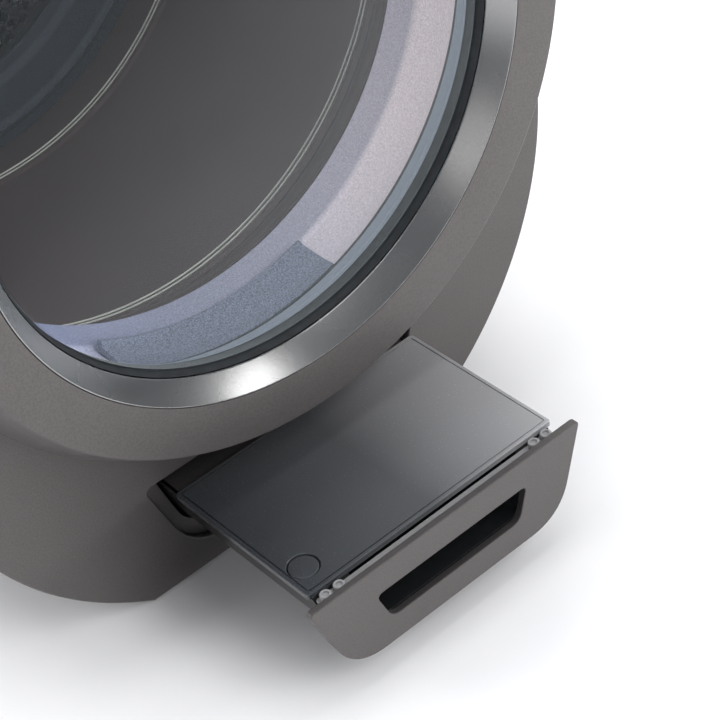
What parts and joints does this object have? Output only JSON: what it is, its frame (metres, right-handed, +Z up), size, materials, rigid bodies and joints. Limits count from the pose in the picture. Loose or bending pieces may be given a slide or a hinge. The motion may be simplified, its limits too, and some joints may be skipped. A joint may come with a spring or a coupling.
{
  "type": "filament dryer",
  "caption": "Drum-shaped hot-air dryer for filament spools with an arch cabinet, round glass door, turning drum with a honeycomb back and a pull-out moisture drawer.",
  "frame": {"origin": "centre of the floor rectangle that the object covers with its drawer pulled out as modelled", "axes": "+Z up, -Y out through the door and the drawer, +X to the right seen from the front"},
  "size_m": [0.3, 0.367, 0.3775],
  "materials": {
    "gunmetal_coat": "satin warm grey coat",
    "bright_trim": "turned satin metal",
    "black_rubber": "matt",
    "window_glass": "clear and polished",
    "grey_liner": "satin grey-blue",
    "frosted_liner": "pale, fine-grained",
    "drum_sheet": "dark satin coat",
    "black_plastic": "fine-grained",
    "tray_plastic": "smooth",
    "smoky_plastic": "smoky and glossy",
    "dark_lens": "glossy",
    "bare_steel": "brushed",
    "white_plastic": "matt",
    "circuit_board": "solder mask"
  },
  "bodies": {
    "cabinet": {"front_cover": "gunmetal_coat", "cabinet_shell": "gunmetal_coat", "rear_cover": "black_plastic", "rear_screw_1": "bare_steel", "rear_screw_2": "bare_steel", "rear_screw_3": "bare_steel", "rear_screw_4": "bare_steel", "foot_1": "black_rubber", "foot_2": "black_rubber", "foot_3": "black_rubber", "foot_4": "black_rubber", "mouth_ring": "frosted_liner", "drum_felt": "black_rubber", "door_seal": "black_rubber", "cabinet_hinge_leaf": "bare_steel", "hinge_pin": "bare_steel", "catch_plate": "bare_steel", "rear_bulkhead": "bare_steel", "drum_bearing": "bare_steel", "air_plenum": "black_plastic", "heater_duct": "black_plastic", "ptc_heater": "bare_steel", "thermal_cutout": "white_plastic", "blower_housing": "black_plastic", "blower_motor": "bare_steel", "drum_motor": "bare_steel", "drive_belt": "black_rubber", "power_inlet": "black_plastic", "power_supply": "circuit_board", "main_board": "circuit_board", "control_pod": "black_plastic", "display_lens": "dark_lens", "drawer_bay": "black_plastic"},
    "door": {"door_ring": "gunmetal_coat", "door_trim_ring": "bright_trim", "glass_gasket": "black_rubber", "door_glass": "window_glass", "door_inner_ring": "grey_liner", "door_hinge_leaf": "bare_steel", "door_magnet": "bare_steel"},
    "drum": {"drum_front_ring": "drum_sheet", "drum_shell": "drum_sheet", "drum_back_plate": "drum_sheet", "drum_grille": "black_plastic", "drum_spindle": "bare_steel", "drum_pulley": "black_plastic"},
    "motor_rotor": {"motor_pulley": "bare_steel"},
    "fan_rotor": {"blower_impeller": "white_plastic"},
    "filter": {"dust_filter": "grey_liner"},
    "drawer": {"drawer_front": "gunmetal_coat", "finger_pocket": "black_plastic", "drawer_tray": "tray_plastic"},
    "lid": {"drawer_lid": "smoky_plastic"},
    "cap": {"fill_cap": "smoky_plastic"},
    "knob": {"control_knob": "bright_trim"},
    "power_key": {"power_button": "gunmetal_coat"},
    "light_key": {"light_button": "gunmetal_coat"}
  },
  "joints": [
    {"name": "door_hinge", "type": "hinge", "parent": "cabinet", "child": "door", "pos_m": [-0.1455, -0.0925, 0.212], "axis": [0, 0, -1], "range_deg": [0, 110]},
    {"name": "drum_spin", "type": "hinge", "parent": "cabinet", "child": "drum", "pos_m": [0, 0.0335, 0.212], "axis": [0, 1, 0], "continuous": true},
    {"name": "motor_spin", "type": "hinge", "parent": "cabinet", "child": "motor_rotor", "pos_m": [0.062, 0.1665, 0.042], "axis": [0, 1, 0], "continuous": true},
    {"name": "fan_spin", "type": "hinge", "parent": "cabinet", "child": "fan_rotor", "pos_m": [-0.03, 0.1465, 0.042], "axis": [0, 1, 0], "continuous": true},
    {"name": "filter_lift", "type": "slide", "parent": "cabinet", "child": "filter", "axis": [0, 0, 1], "range_m": [0, 0.02]},
    {"name": "drawer_slide", "type": "slide", "parent": "cabinet", "child": "drawer", "axis": [0, -1, 0], "range_m": [-0.097, 0.012]},
    {"name": "lid_lift", "type": "slide", "parent": "drawer", "child": "lid", "axis": [0, 0, 1], "range_m": [0, 0.01]},
    {"name": "cap_lift", "type": "slide", "parent": "lid", "child": "cap", "axis": [0, 0, 1], "range_m": [0, 0.01]},
    {"name": "knob_turn", "type": "hinge", "parent": "cabinet", "child": "knob", "pos_m": [0.029, -0.0475, 0.372], "axis": [0, 0, 1], "continuous": true},
    {"name": "power_press", "type": "slide", "parent": "cabinet", "child": "power_key", "axis": [0, 0, -1], "range_m": [0, 0.0012], "stiffness_N_per_m": 600, "springref_m": -0.0006},
    {"name": "light_press", "type": "slide", "parent": "cabinet", "child": "light_key", "axis": [0, 0, -1], "range_m": [0, 0.0012], "stiffness_N_per_m": 600, "springref_m": -0.0006}
  ],
  "couplings": [
    {"joint": "motor_spin", "follows": "drum_spin", "ratio": 6}
  ]
}
